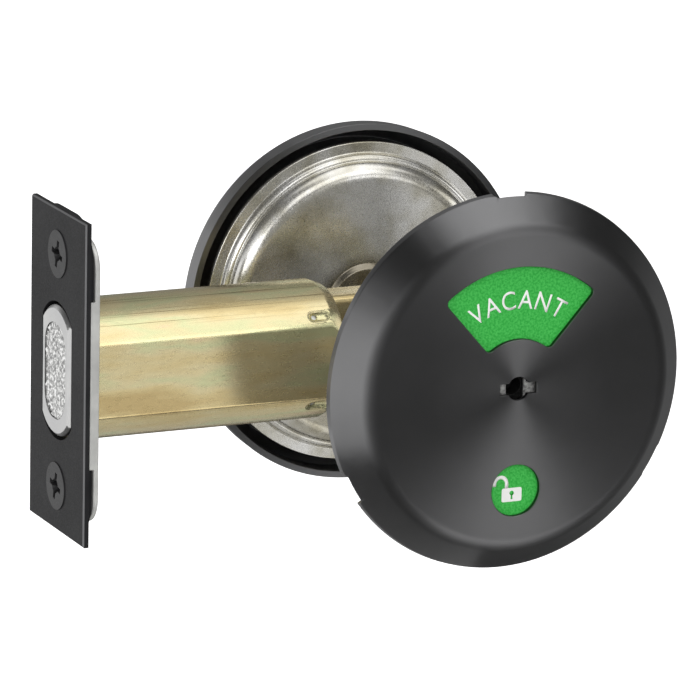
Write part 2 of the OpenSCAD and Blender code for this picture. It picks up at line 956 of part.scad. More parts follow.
module screw_posts() {
    color("#b0b1ad")
    for (s = [-1, 1])
        translate([s * screw_x, 0, 0])
            difference() {
                union() {
                    rod_y(post_r - post_step, y_base, y_base_back);
                    rod_y(post_r, y_base_back, y_post_end);
                }
                rod_y(screw_r, y_screw_end - drill_past, y_post_end + e);
            }
}

module thrust_washer() {
    color("#d9d6c8")
    along_y(y_disc_back + end_play, y_base)
        difference() {
            circle(plug_shaft_r + washer_w);
            circle(plug_shaft_r + run_fit);
        }
}

module plug_drive() {
    intersection() {
        circle(plug_shaft_r);
        square([2 * disc_flat, 4 * plug_shaft_r], center = true);
    }
}

module release_plug() {
    color("#8e8f8c")
    difference() {
        union() {
            rod_y(plug_r, y_plug, y_plug_seat);
            along_y(y_plug_seat, y_disc_back)
                plug_drive();
            rod_y(plug_shaft_r, y_disc_back, y_plug_end);
        }
        translate([-tool_slot_w / 2, y_plug - e, -tool_slot_l / 2])
            cube([tool_slot_w, tool_slot_d + e, tool_slot_l]);
        rod_y(pilot_r, y_plug - e, y_plug + pilot_d);
        groove(plug_shaft_r, y_plug_clip);
        blade(y_plug_end - plug_blade_l, y_plug_end + e);
    }
}

module plug_clip() {
    color("#6a6b69")
    clip(plug_shaft_r, y_plug_clip);
}

module indicator_disc() {
    color("#d8d9d6")
    difference() {
        rod_y(disc_r, y_disc, y_disc_back);
        rod_y(plug_r, y_disc - e, y_plug_seat);
        along_y(y_plug_seat - e, y_disc_back + e)
            plug_drive();
    }
}

module label_fields() {
    for (a = [0, 180])
        rotate(a)
            intersection() {
                difference() {
                    circle(label_out_r);
                    circle(label_in_r);
                }
                sector(label_half, 2 * disc_r);
            }
}

module vacant_labels() {
    color("#1fa23a")
    along_y(y_label, y_disc)
        label_fields();
}

module in_use_labels() {
    color("#c62828")
    along_y(y_label, y_disc)
        rotate(90)
            label_fields();
}

module inside_rose() {
    blend_x = inner_flat_r - blend_r * tan(45 / 2);
    blend = [for (i = [0 : steps])
        let (a = 45 * (1 - i / steps))
        [blend_x + blend_r * sin(a), y_in_face - blend_r * (1 - cos(a))]];
    wall_in_r = inner_in_r - rim_draft;
    color("#2c2d31")
    about_y()
        polygon(concat(
            [[inner_in_r, y_in],
            [inner_r, y_in],
            [inner_r - rim_draft, y_wall]],
            blend,
            [[bush_r, y_in_face],
            [bush_r, y_in_under],
            [rib_in_r, y_in_under],
            [rib_in_r, y_rib],
            [rib_out_r, y_rib],
            [rib_out_r, y_wall + wall_in_r - rib_out_r],
            [wall_in_r, y_wall]]));
}

module inside_liner() {
    r0 = pilot_ring_r - shoulder;
    boss_foot = liner_boss_r + liner_boss_h;
    fall = y_bead - y_plateau;
    arc_out = [for (i = [0 : steps])
        let (a = 90 * (1 - i / steps))
        [r0 + shoulder * cos(a), y_plateau + fall * (1 - sin(a))]];
    arc_in = [for (i = [0 : steps])
        let (a = 90 * i / steps)
        [r0 + (shoulder - liner_t) * cos(a), y_head + fall * (1 - sin(a))]];
    color("#c3c3bf")
    difference() {
        about_y()
            polygon(concat(
                [[liner_boss_r, y_head],
                [liner_hole_r, y_head - liner_boss_h],
                [liner_hole_r, y_plateau - liner_boss_h],
                [liner_boss_r, y_plateau - liner_boss_h],
                [boss_foot, y_plateau]],
                arc_out,
                [[pilot_ring_r + bead_w / 3, y_bead],
                [pilot_ring_r + bead_w - bead_round, y_bead + bead_round],
                [pilot_ring_r + bead_w, y_liner],
                [liner_r, y_liner],
                [liner_r, y_rib],
                [pilot_ring_r - liner_t, y_rib]],
                arc_in));
        for (s = [-1, 1])
            translate([s * screw_x, 0, 0])
                rod_y(screw_r + screw_gap, y_plateau - e, y_head + e);
    }
}

module turn_bush() {
    hole_r = turn_shaft_r + run_fit;
    color("#e2dfd2")
    about_y()
        polygon([
            [hole_r, y_bush],
            [bush_r + bush_flange_w, y_bush],
            [bush_r + bush_flange_w, y_in_under],
            [bush_r, y_in_under],
            [bush_r, y_in_face],
            [hole_r, y_in_face]]);
}

module spring_washer() {
    color("#a8a9a6")
    along_y(y_spring, y_bush)
        difference() {
            circle(turn_shaft_r + spring_w);
            circle(turn_shaft_r + run_fit);
        }
}

module turn_clip() {
    color("#6a6b69")
    clip(turn_shaft_r, y_turn_clip);
}

module grip() {
    difference() {
        translate([-grip_t / 2, 0, 0])
            rotate([90, 0, 90])
                linear_extrude(grip_t)
                    intersection() {
                        translate([y_grip_c, 0])
                            circle(grip_r);
                        translate([y_grip + grip_foot, -grip_r])
                            square([2 * grip_r, 2 * grip_r]);
                    }
        for (s = [-1, 1])
            translate([s * (grip_t / 2 + hollow_r - hollow_d), y_grip_c + hollow_rise, -2 * grip_r])
                cylinder(r = hollow_r, h = 4 * grip_r);
    }
}

module thumbturn() {
    color("#2d2e32")
    difference() {
        union() {
            rod_y(turn_shaft_r, y_turn_end, y_grip + e);
            translate([0, y_grip, 0])
                rotate([-90, 0, 0])
                    cylinder(r1 = grip_base_r, r2 = grip_base_r - grip_taper, h = grip_base_t);
            grip();
        }
        groove(turn_shaft_r, y_turn_clip);
        blade(y_turn_end - e, y_turn_end + turn_blade_l);
    }
}

module mounting_screws() {
    color("#b5b6b2")
    for (s = [-1, 1])
        translate([s * screw_x, 0, 0])
            difference() {
                union() {
                    rod_y(screw_r, y_screw_end, y_head);
                    rod_y(screw_head_r, y_head, y_head + screw_head_t);
                }
                translate([0, y_head + screw_head_t, 0])
                    rotate([90, 0, 0])
                        cross_recess();
            }
}

faceplate();
support_plate();
faceplate_screws();
case_flange();
bolt_tube();
end_collar();
cam_frame();
outside_rose();
outside_housing();
screw_posts();
thrust_washer();
inside_rose();
inside_liner();
turn_bush();
spring_washer();
mounting_screws();
deadbolt();
bolt_tail();
tail_rivet();
release_plug();
indicator_disc();
vacant_labels();
in_use_labels();
plug_clip();
spindle();
cam_hub();
crank_arm();
crank_pin();
hub_clip();
thumbturn();
turn_clip();
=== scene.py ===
import json
import math

import bmesh
import bpy
from mathutils import Matrix, Vector, noise


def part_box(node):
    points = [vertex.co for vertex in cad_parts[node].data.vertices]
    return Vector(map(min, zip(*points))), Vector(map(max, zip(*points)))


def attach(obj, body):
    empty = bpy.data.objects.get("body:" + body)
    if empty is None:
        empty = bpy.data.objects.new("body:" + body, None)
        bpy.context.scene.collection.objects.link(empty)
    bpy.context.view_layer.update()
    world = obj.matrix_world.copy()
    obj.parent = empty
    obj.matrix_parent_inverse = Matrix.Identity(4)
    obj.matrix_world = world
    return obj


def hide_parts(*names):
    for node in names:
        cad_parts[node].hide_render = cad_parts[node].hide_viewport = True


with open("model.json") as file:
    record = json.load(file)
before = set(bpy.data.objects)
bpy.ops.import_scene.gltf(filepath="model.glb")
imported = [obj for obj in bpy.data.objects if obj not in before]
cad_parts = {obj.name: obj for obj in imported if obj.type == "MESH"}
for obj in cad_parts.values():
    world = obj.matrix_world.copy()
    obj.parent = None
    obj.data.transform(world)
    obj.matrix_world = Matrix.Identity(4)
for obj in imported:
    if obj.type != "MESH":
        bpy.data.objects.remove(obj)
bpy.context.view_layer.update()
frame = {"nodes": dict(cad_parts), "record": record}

# Bolt tube
# A rolled steel tube with two pressed flats that runs from the door edge to the cross bore.
# It is zinc plated and passivated yellow, and four dimples stake it to the collar inside.
MM = 0.001
BODY_OF = {node: body for body, nodes in frame["record"]["behaviour"]["bodies"].items() for node in nodes}
MERGE_REACH = 0.002
FLAT_WITHIN = 0.3
TUBE_EDGE = 0.25
TUBE_FOLD = 24
TUBE_DRAWN = (0.25, 1, 1)
TOP_LINE_STRETCH = (0.008, 1, 1)
ROUNDS_START = 8.5
ROUNDS_END = 9.5


def place(bm, name, body, finish):
    """Makes a smooth-shaded piece from a bmesh and sets it on a body."""
    for face in bm.faces:
        face.smooth = True
    mesh = bpy.data.meshes.new(name)
    bm.to_mesh(mesh)
    bm.free()
    mesh.materials.append(finish)
    piece = bpy.data.objects.new(name, mesh)
    bpy.context.scene.collection.objects.link(piece)
    piece.modifiers.new("even_normals", "WEIGHTED_NORMAL")
    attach(piece, body)
    return piece


def dress(node, finish, edge, fold=30, rounds=2, reshape=None):
    """Copies a node's solid and breaks its corners sharper than fold degrees by edge millimetres."""
    bm = bmesh.new()
    bm.from_mesh(frame["nodes"][node].data)
    bmesh.ops.remove_doubles(bm, verts=bm.verts, dist=MERGE_REACH * MM)
    bmesh.ops.dissolve_limit(bm, angle_limit=math.radians(FLAT_WITHIN), verts=bm.verts, edges=bm.edges)
    if reshape:
        reshape(bm)
    corners = [e for e in bm.edges if e.calc_face_angle(0) > math.radians(fold)]
    bmesh.ops.bevel(bm, geom=corners, offset=edge * MM, offset_type="OFFSET", affect="EDGES",
                    segments=rounds, profile=0.5, material=-1, clamp_overlap=False)
    piece = place(bm, node + "_piece", BODY_OF[node], finish)
    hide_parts(node)
    return piece


def add(tree, kind, values=None):
    """Adds a shader node and sets the inputs that stay constant."""
    node = tree.nodes.new("ShaderNode" + kind)
    for name, value in (values or {}).items():
        node.inputs[name].default_value = value
    return node


def new_finish(name, constants):
    """A material with its constant Principled sockets set, its tree, shader and object coordinates."""
    finish = bpy.data.materials.new(name)
    finish.use_nodes = True
    tree = finish.node_tree
    shader = tree.nodes["Principled BSDF"]
    for socket, value in constants.items():
        shader.inputs[socket].default_value = value
    return finish, tree, shader, add(tree, "TexCoord").outputs["Object"]


def new_group(name, inputs, outputs):
    """A node group with named sockets, its input node and its output node."""
    tree = bpy.data.node_groups.new(name, "ShaderNodeTree")
    for socket, kind in inputs.items():
        tree.interface.new_socket(name=socket, in_out="INPUT", socket_type="NodeSocket" + kind)
    for socket, kind in outputs.items():
        tree.interface.new_socket(name=socket, in_out="OUTPUT", socket_type="NodeSocket" + kind)
    return tree, tree.nodes.new("NodeGroupInput"), tree.nodes.new("NodeGroupOutput")


def use_group(tree, group, vector, values):
    """Places a node group in a material with its own values."""
    node = tree.nodes.new("ShaderNodeGroup")
    node.node_tree = group
    tree.links.new(vector, node.inputs["Vector"])
    for socket, value in values.items():
        node.inputs[socket].default_value = value
    return node


def blend_colors(tree, factor, stops):
    """A colour ramp over a mask."""
    ramp = add(tree, "ValToRGB")
    ramp.color_ramp.elements[0].position = stops[0][0]
    ramp.color_ramp.elements[0].color = (*stops[0][1], 1)
    ramp.color_ramp.elements[1].position = stops[-1][0]
    ramp.color_ramp.elements[1].color = (*stops[-1][1], 1)
    for position, color in stops[1:-1]:
        ramp.color_ramp.elements.new(position).color = (*color, 1)
    tree.links.new(factor, ramp.inputs["Fac"])
    return ramp.outputs["Color"]


def tone(tree, color, shade, where, way="MULTIPLY"):
    """Multiplies a colour by a shade, or mixes it in, where a mask is 1."""
    node = add(tree, "Mix")
    node.data_type = "RGBA"
    node.blend_type = way
    tree.links.new(where, node.inputs["Factor"])
    tree.links.new(color, node.inputs[6])
    if isinstance(shade, tuple):
        node.inputs[7].default_value = (*shade, 1)
    else:
        tree.links.new(shade, node.inputs[7])
    return node.outputs[2]


def spread(tree, mask, low, high, start=0.3, end=0.7):
    """Maps a mask onto a range of values."""
    node = add(tree, "MapRange", {"From Min": start, "From Max": end, "To Min": low, "To Max": high})
    tree.links.new(mask, node.inputs["Value"])
    return node.outputs["Result"]


def stretch(tree, vector, scale):
    """Object coordinates stretched along the way a surface was worked."""
    node = add(tree, "Mapping", {"Scale": scale})
    tree.links.new(vector, node.inputs["Vector"])
    return node.outputs["Vector"]


def split(tree, vector):
    """The X, Y and Z of a vector."""
    node = add(tree, "SeparateXYZ")
    tree.links.new(vector, node.inputs["Vector"])
    return node.outputs


def emboss(tree, shader, height, depth):
    """A fine relief of depth millimetres on the surface."""
    node = add(tree, "Bump", {"Strength": 1.0, "Distance": depth * MM})
    tree.links.new(height, node.inputs["Height"])
    tree.links.new(node.outputs["Normal"], shader.inputs["Normal"])


metal_grain, grain_in, grain_out = new_group(
    "metal_grain",
    {"Vector": "Vector", "Fine scale": "Float", "Cloud scale": "Float"},
    {"Fine": "Float", "Cloud": "Float"})
for socket, detail in (("Fine", 2), ("Cloud", 3)):
    speckle = add(metal_grain, "TexNoise", {"Detail": detail, "Roughness": 0.6})
    metal_grain.links.new(grain_in.outputs["Vector"], speckle.inputs["Vector"])
    metal_grain.links.new(grain_in.outputs[socket + " scale"], speckle.inputs["Scale"])
    metal_grain.links.new(speckle.outputs["Fac"], grain_out.inputs[socket])


def grained(name, constants, stains, fine, cloud, relief=0, roughness=None,
            color_by="Cloud", rough_by="Fine", drawn=None):
    """A finish whose colour, roughness and relief follow a fine grain and a cloudy one."""
    finish, tree, shader, coords = new_finish(name, constants)
    vector = stretch(tree, coords, drawn) if drawn else coords
    grain = use_group(tree, metal_grain, vector, {"Fine scale": fine, "Cloud scale": cloud})
    tint = blend_colors(tree, grain.outputs[color_by], stains)
    tree.links.new(tint, shader.inputs["Base Color"])
    if roughness:
        tree.links.new(spread(tree, grain.outputs[rough_by], *roughness), shader.inputs["Roughness"])
    if relief:
        emboss(tree, shader, grain.outputs["Fine"], relief)
    return finish, tree, shader, coords, tint


yellow_zinc, tree, shader, coords, tint = grained(
    "yellow_zinc", {"Metallic": 0.85},
    [(0.30, (0.60, 0.46, 0.22)),
     (0.42, (0.72, 0.59, 0.31)),
     (0.50, (0.75, 0.65, 0.38)),
     (0.57, (0.66, 0.66, 0.38)),
     (0.64, (0.73, 0.63, 0.36)),
     (0.72, (0.79, 0.55, 0.41))],
    fine=3000, cloud=120, relief=0.0006, roughness=(0.19, 0.29), drawn=TUBE_DRAWN)
# Fine dark lines along the tube are multiplied into its colour near the top.
top_line_grain = use_group(
    tree, metal_grain, stretch(tree, coords, TOP_LINE_STRETCH), {"Fine scale": 2000, "Cloud scale": 300})
dark_top_lines = blend_colors(tree, top_line_grain.outputs["Fine"], [(0.32, (0.40, 0.36, 0.28)), (0.44, (1, 1, 1))])
on_rounds = spread(tree, split(tree, coords)["Z"], 0, 1, ROUNDS_START * MM, ROUNDS_END * MM)
tree.links.new(tone(tree, tint, dark_top_lines, on_rounds), shader.inputs["Base Color"])

tube = dress("bolt_tube", yellow_zinc, TUBE_EDGE, fold=TUBE_FOLD, rounds=3)

# Cam frame and end collar
# The frame is a pressed steel channel that carries the cam hub behind the tube, plated like it.
# It is held in the tube end by a steel collar with a dull zinc plate.
FRAME_EDGE = 0.15

dress("cam_frame", yellow_zinc, FRAME_EDGE)

dull_zinc, *_ = grained(
    "dull_zinc", {"Metallic": 0.65},
    [(0.32, (0.58, 0.58, 0.56)), (0.68, (0.74, 0.74, 0.71))],
    fine=2600, cloud=160, relief=0.012, roughness=(0.34, 0.50))

dress("end_collar", dull_zinc, FRAME_EDGE)

# Case flange
# A pressed steel plate with round-cornered ears, fixed to the front of the tube.
# Its two side lips reach round the support plate to the back of the faceplate.
FLANGE_EDGE = 0.15

case_flange = dress("case_flange", dull_zinc, FLANGE_EDGE)

# Support plate and faceplate
# Two steel plates in matte black cover the flange, the faceplate square and the one behind round cornered.
# Both are let into the door edge, and the bolt slides through them. The front chamfer is painted lighter
# and more metallic as a painted highlight.
PLATE_EDGE = 0.05
PLATE_RIM = 0.27
RIM_FADE = 0.02
# Colour and metallic of the painted highlight on the plates' front rim.
RIM_HIGHLIGHT_STEEL = (0.20, 0.20, 0.205)
RIM_HIGHLIGHT_METALLIC = 0.8

plate_black, tree, shader, coords, tint = grained(
    "plate_black", {"Specular IOR Level": 0.11},
    [(0.35, (0.016, 0.016, 0.017)), (0.65, (0.024, 0.024, 0.025))],
    fine=4200, cloud=90, relief=0.006, roughness=(0.42, 0.58))


def joined(tree, operation, first, second=0.0):
    """Works two values of a shader into one."""
    node = add(tree, "Math")
    node.operation = operation
    for socket, value in zip(node.inputs, (first, second)):
        if isinstance(value, float):
            socket.default_value = value
        else:
            tree.links.new(value, socket)
    return node.outputs["Value"]


def near_rim(tree, coordinate, reach):
    """1 within the rim of a plate, where a highlight is painted, that reaches so far from the middle along
    one axis.
    """
    limit = reach - PLATE_RIM * MM
    return spread(tree, joined(tree, "ABSOLUTE", coordinate), 0, 1, limit - RIM_FADE * MM, limit)


plate_low, plate_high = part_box("faceplate")
spot = split(tree, coords)
at_sides = near_rim(tree, spot["Y"], plate_high.y)
at_ends = near_rim(tree, spot["Z"], plate_high.z)
at_front = near_rim(tree, spot["X"], -plate_low.x)
# Painted highlight: the front rim of the plates is made lighter and more metallic.
painted_rim_highlight = joined(tree, "MULTIPLY", joined(tree, "MAXIMUM", at_sides, at_ends), at_front)
tree.links.new(spread(tree, painted_rim_highlight, 0, RIM_HIGHLIGHT_METALLIC, 0, 1), shader.inputs["Metallic"])
tree.links.new(tone(tree, tint, RIM_HIGHLIGHT_STEEL, painted_rim_highlight, "MIX"), shader.inputs["Base Color"])

dress("support_plate", plate_black, PLATE_EDGE)
dress("faceplate", plate_black, PLATE_EDGE)

# Faceplate screws
# Two black flat-head screws with a cross recess hold the three plates together.
# They are steel, a little glossier than the plates, and their black is painted lighter than the plates' as
# a painted highlight on the heads.
SCREW_EDGE = 0.06

# Painted highlight: the heads' black is lighter than the plates' black.
screw_black_painted_light, *_ = grained(
    "screw_black_painted_light", {"Specular IOR Level": 0.22},
    [(0.35, (0.024, 0.024, 0.025)), (0.65, (0.036, 0.036, 0.037))],
    fine=3600, cloud=300, relief=0.004, roughness=(0.32, 0.46))

dress("faceplate_screws", screw_black_painted_light, SCREW_EDGE)

# Deadbolt and its tail
# The bolt is a solid steel bar with round ends in satin nickel, slotted at the back for a flat tail.
# The end has a sunk field of cast stipple, with painted glints and shade in its colour. One rivet holds the
# tail, which is slotted for the crank pin.
BOLT_EDGE = 0.06
FIELD_SIZE = (9.6, 17.0)
FIELD_GRID = (56, 100)
FIELD_CORNER = 4.4
FIELD_DEPTH = 0.35
PEBBLE = 0.85
PEBBLE_TOP = 0.95
PEBBLE_FALL = 0.85
PEBBLE_SHARE = 0.65
LINK_EDGE = 0.12

satin_nickel, *_ = grained(
    "satin_nickel", {"Metallic": 1.0},
    [(0.35, (0.53, 0.53, 0.53)), (0.65, (0.60, 0.60, 0.59))],
    fine=3600, cloud=120, relief=0.004, roughness=(0.30, 0.42))

dress("deadbolt", satin_nickel, BOLT_EDGE)

# Painted glints and shade: the stipple's colour runs from dark to near white over a fine grain.
stipple_painted_glints, *_ = grained(
    "stipple_painted_glints", {"Metallic": 1.0},
    [(0.38, (0.26, 0.26, 0.26)), (0.50, (0.52, 0.52, 0.51)), (0.60, (0.90, 0.90, 0.89))],
    fine=1500, cloud=400, roughness=(0.26, 0.40), color_by="Fine", rough_by="Cloud")

bolt_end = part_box("deadbolt")[0].x
width, height = FIELD_SIZE
bm = bmesh.new()
bmesh.ops.create_grid(
    bm, x_segments=FIELD_GRID[0], y_segments=FIELD_GRID[1], size=0.5,
    matrix=Matrix.Translation((bolt_end + FIELD_DEPTH * MM, 0, 0))
    @ Matrix(((0, 0, -1), (-1, 0, 0), (0, 1, 0))).to_4x4()
    @ Matrix.Diagonal((width * MM, height * MM, 1, 1)))
corner = Vector((width / 2 - FIELD_CORNER, height / 2 - FIELD_CORNER)) * MM
outside = [v for v in bm.verts if math.hypot(
    max(abs(v.co.y) - corner.x, 0), max(abs(v.co.z) - corner.y, 0)) > FIELD_CORNER * MM]
bmesh.ops.delete(bm, geom=outside, context="VERTS")
for vert in bm.verts:
    nearest = noise.voronoi(vert.co / (PEBBLE * MM))[0][0]
    rise = PEBBLE_TOP - PEBBLE_FALL * min(nearest / PEBBLE_SHARE, 1)
    vert.co.x -= FIELD_DEPTH * MM * rise
place(bm, "bolt_stipple", "bolt_set", stipple_painted_glints)

plain_steel, *_ = grained(
    "plain_steel", {"Metallic": 1.0},
    [(0.35, (0.44, 0.44, 0.43)), (0.65, (0.56, 0.56, 0.54))],
    fine=2400, cloud=140, relief=0.006, roughness=(0.26, 0.42))

dress("bolt_tail", plain_steel, LINK_EDGE)
dress("tail_rivet", plain_steel, LINK_EDGE)

# Cam
# A steel hub turns in the frame, held by a spring clip, with the crank arm pressed on it.
# The arm's pin drives the bolt tail, and the spindle blade runs through the hub to both roses.
HUB_EDGE = 0.15

dress("cam_hub", plain_steel, HUB_EDGE)
dress("crank_arm", plain_steel, LINK_EDGE)
dress("crank_pin", plain_steel, LINK_EDGE)
dress("spindle", plain_steel, LINK_EDGE)

spring_steel, *_ = grained(
    "spring_steel", {"Metallic": 1.0},
    [(0.35, (0.14, 0.14, 0.145)), (0.65, (0.22, 0.22, 0.22))],
    fine=2600, cloud=200, relief=0.004, roughness=(0.28, 0.42))

for clip in ("hub_clip", "plug_clip", "turn_clip"):
    dress(clip, spring_steel, LINK_EDGE)

# Outside housing
# A zinc casting behind the outside rose carries the release plug and the two screw posts.
# A nylon washer lies between it and the indicator disc.
HOUSING_EDGE = 0.3

cast_zinc, *_ = grained(
    "cast_zinc", {"Metallic": 0.65},
    [(0.32, (0.33, 0.33, 0.32)), (0.68, (0.42, 0.42, 0.40))],
    fine=2000, cloud=120, relief=0.012, roughness=(0.36, 0.52))

housing = dress("outside_housing", cast_zinc, HOUSING_EDGE)
dress("screw_posts", dull_zinc, LINK_EDGE)

nylon, *_ = grained(
    "nylon", {"Subsurface Weight": 0.15, "Subsurface Scale": 0.001},
    [(0.35, (0.72, 0.70, 0.60)), (0.65, (0.80, 0.78, 0.69))],
    fine=1800, cloud=120, relief=0.005, roughness=(0.38, 0.52))

dress("thrust_washer", nylon, LINK_EDGE)

# Indicator
# A white plastic disc turns with the plug and carries two green and two red label fields.
# The film has a fine orange-peel grain, and its plain lettering and padlocks are printed on in white.
LABEL_EDGE = 0.03
INK = 0.03
KEYHOLE_INK = INK / 4
CAP_HEIGHT = 3.2
CAP_SHARE = 0.682
LETTER_WIDTH = 0.88
LETTER_GAP = 0.42
SPACE = 1.6
WORD_RADIUS = 13.9
EYE_RADIUS = 18.1
LOCK_SIZE = (3.8, 2.45)
LOCK_AT = (-0.25, -1.0)
LOCK_CORNER = 0.3
SHACKLE_RADIUS = 1.17
SHACKLE_STROKE = 0.65
SHACKLE_TOP = 1.1
SHACKLE_STEPS = 14
OPEN_SHIFT = 1.0
OPEN_END = 0.4
KEYHOLE_RADIUS = 0.42
KEYHOLE_RISE = 0.3
KEYHOLE_STEM = (0.34, 0.75)

disc_white, *_ = grained(
    "disc_white", {},
    [(0.35, (0.82, 0.82, 0.80)), (0.65, (0.90, 0.90, 0.88))],
    fine=2200, cloud=120, relief=0.003, roughness=(0.40, 0.55))

dress("indicator_disc", disc_white, LINK_EDGE)


def only_verts(geometry):
    """The vertices among what an operator returns."""
    return [part for part in geometry if isinstance(part, bmesh.types.BMVert)]


def flat_mesh(bm, thickness):
    """Thickens a flat drawing by millimetres and gives it as a mesh."""
    raised = bmesh.ops.extrude_face_region(bm, geom=bm.faces[:])["geom"]
    bmesh.ops.translate(bm, verts=only_verts(raised), vec=(0, 0, thickness * MM))
    bmesh.ops.recalc_face_normals(bm, faces=bm.faces)
    mesh = bpy.data.meshes.new("drawing")
    bm.to_mesh(mesh)
    bm.free()
    return mesh


def letter(character):
    """A plain capital, INK thick, standing on the X axis."""
    curve = bpy.data.curves.new("letter", "FONT")
    curve.body = character
    curve.size = CAP_HEIGHT / CAP_SHARE * MM
    text = bpy.data.objects.new("letter", curve)
    bpy.context.scene.collection.objects.link(text)
    outline = bpy.data.meshes.new_from_object(text.evaluated_get(bpy.context.evaluated_depsgraph_get()))
    bpy.data.objects.remove(text)
    bm = bmesh.new()
    bm.from_mesh(outline)
    bmesh.ops.scale(bm, vec=(LETTER_WIDTH, 1, 1), verts=bm.verts)
    return flat_mesh(bm, INK)


def rectangle(bm, middle, size):
    """A flat rectangle in millimetres."""
    return bmesh.ops.create_grid(
        bm, x_segments=1, y_segments=1, size=0.5,
        matrix=Matrix.Translation((middle[0] * MM, middle[1] * MM, 0))
        @ Matrix.Diagonal((size[0] * MM, size[1] * MM, 1, 1)))["verts"]


def padlock(is_open):
    """A padlock with a bent bar for its shackle, which an open one carries to the left."""
    bm = bmesh.new()
    body = rectangle(bm, LOCK_AT, LOCK_SIZE)
    bmesh.ops.bevel(bm, geom=body, offset=LOCK_CORNER * MM, affect="VERTICES", segments=3, profile=0.5,
                    material=-1)
    middle = LOCK_AT[0] - (SHACKLE_RADIUS + OPEN_SHIFT if is_open else 0)
    ends = [bm.verts.new(((middle + SHACKLE_RADIUS + side * SHACKLE_STROKE / 2) * MM, SHACKLE_TOP * MM, 0))
            for side in (-1, 1)]
    right = bm.edges.new(ends)
    bend = bmesh.ops.spin(bm, geom=[*ends, right], cent=(middle * MM, SHACKLE_TOP * MM, 0), axis=(0, 0, 1),
                          angle=math.pi, steps=SHACKLE_STEPS)
    left = [e for e in bend["geom_last"] if isinstance(e, bmesh.types.BMEdge)][0]
    to_lock = SHACKLE_TOP - LOCK_AT[1] - LOCK_SIZE[1] / 2
    for end, length in ((right, to_lock), (left, OPEN_END if is_open else to_lock)):
        leg = bmesh.ops.extrude_edge_only(bm, edges=[end])["geom"]
        bmesh.ops.translate(bm, verts=only_verts(leg), vec=(0, -length * MM, 0))
    return flat_mesh(bm, INK)


def keyhole():
    """A round hole over a short stem, drawn in the colour of the film."""
    bm = bmesh.new()
    bmesh.ops.create_circle(
        bm, cap_ends=True, segments=24, radius=KEYHOLE_RADIUS * MM,
        matrix=Matrix.Translation((LOCK_AT[0] * MM, (LOCK_AT[1] + KEYHOLE_RISE) * MM, 0)))
    rectangle(bm, (LOCK_AT[0], LOCK_AT[1] - KEYHOLE_RADIUS), KEYHOLE_STEM)
    return flat_mesh(bm, KEYHOLE_INK)


def printed(name, film, word, is_open, turned):
    """Prints a word over the fan and a padlock in the eye, turned about the plug by degrees."""
    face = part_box(name)[0].y
    to_face = Matrix(((1, 0, 0), (0, 0, -1), (0, 1, 0))).to_4x4()
    about = Matrix.Rotation(math.radians(turned), 4, "Y")
    bm = bmesh.new()
    plates = [None if character == " " else letter(character) for character in word]
    widths = [SPACE * MM if plate is None else
              min(v.co.x for v in plate.vertices) + max(v.co.x for v in plate.vertices) for plate in plates]
    gap = LETTER_GAP * MM
    along_arc = -(sum(widths) + gap * (len(word) - 1)) / 2
    for plate, width in zip(plates, widths):
        if plate:
            angle = (along_arc + width / 2) / ((WORD_RADIUS + CAP_HEIGHT / 2) * MM)
            plate.transform(about @ Matrix.Rotation(angle, 4, "Y")
                            @ Matrix.Translation((0, face, WORD_RADIUS * MM)) @ to_face
                            @ Matrix.Translation((-width / 2, 0, 0)))
            bm.from_mesh(plate)
        along_arc += width + gap
    lock = padlock(is_open)
    lock.transform(about @ Matrix.Translation((0, face, -EYE_RADIUS * MM)) @ to_face)
    bm.from_mesh(lock)
    place(bm, name + "_print", "turn_set", disc_white)
    bm = bmesh.new()
    hole = keyhole()
    hole.transform(about @ Matrix.Translation((0, face - INK * MM, -EYE_RADIUS * MM)) @ to_face)
    bm.from_mesh(hole)
    place(bm, name + "_keyhole", "turn_set", film)


FILMS = {
    "vacant_labels": ("label_green", (0.026, 0.35, 0.045), (0.064, 0.49, 0.088), "VACANT", True, 0),
    "in_use_labels": ("label_red", (0.42, 0.012, 0.012), (0.60, 0.036, 0.030), "IN USE", False, -90)}
for node, (slot, deep, pale, word, is_open, turned) in FILMS.items():
    film, *_ = grained(
        slot, {"Specular IOR Level": 0.35}, [(0.40, deep), (0.60, pale)],
        fine=2400, cloud=900, relief=0.045, roughness=(0.36, 0.54), color_by="Fine", rough_by="Cloud")
    dress(node, film, LABEL_EDGE)
    printed(node, film, word, is_open, turned)

# Release plug
# A zinc plug behind the middle of the outside rose, slotted for the emergency tool.
# It turns the disc and the spindle together, and its slot and bore are darkened deeper in with painted
# shade.
PLUG_EDGE = 0.1
SLOT_START = 0.15
SLOT_DARK = 0.7
SLOT_PAINTED_SHADE = (0.05, 0.05, 0.05)

plug_zinc, tree, shader, coords, tint = grained(
    "plug_zinc", {"Metallic": 0.65},
    [(0.36, (0.22, 0.22, 0.22)), (0.64, (0.60, 0.60, 0.58))],
    fine=1800, cloud=160, relief=0.02, roughness=(0.36, 0.52), color_by="Fine")
plug_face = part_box("release_plug")[0].y
# Painted shade: the colour darkens deeper into the slot and bore.
painted_shade_in_slot = spread(
    tree, split(tree, coords)["Y"], 0, 1, plug_face + SLOT_START * MM, plug_face + SLOT_DARK * MM)
tree.links.new(tone(tree, tint, SLOT_PAINTED_SHADE, painted_shade_in_slot), shader.inputs["Base Color"])

dress("release_plug", plug_zinc, PLUG_EDGE)

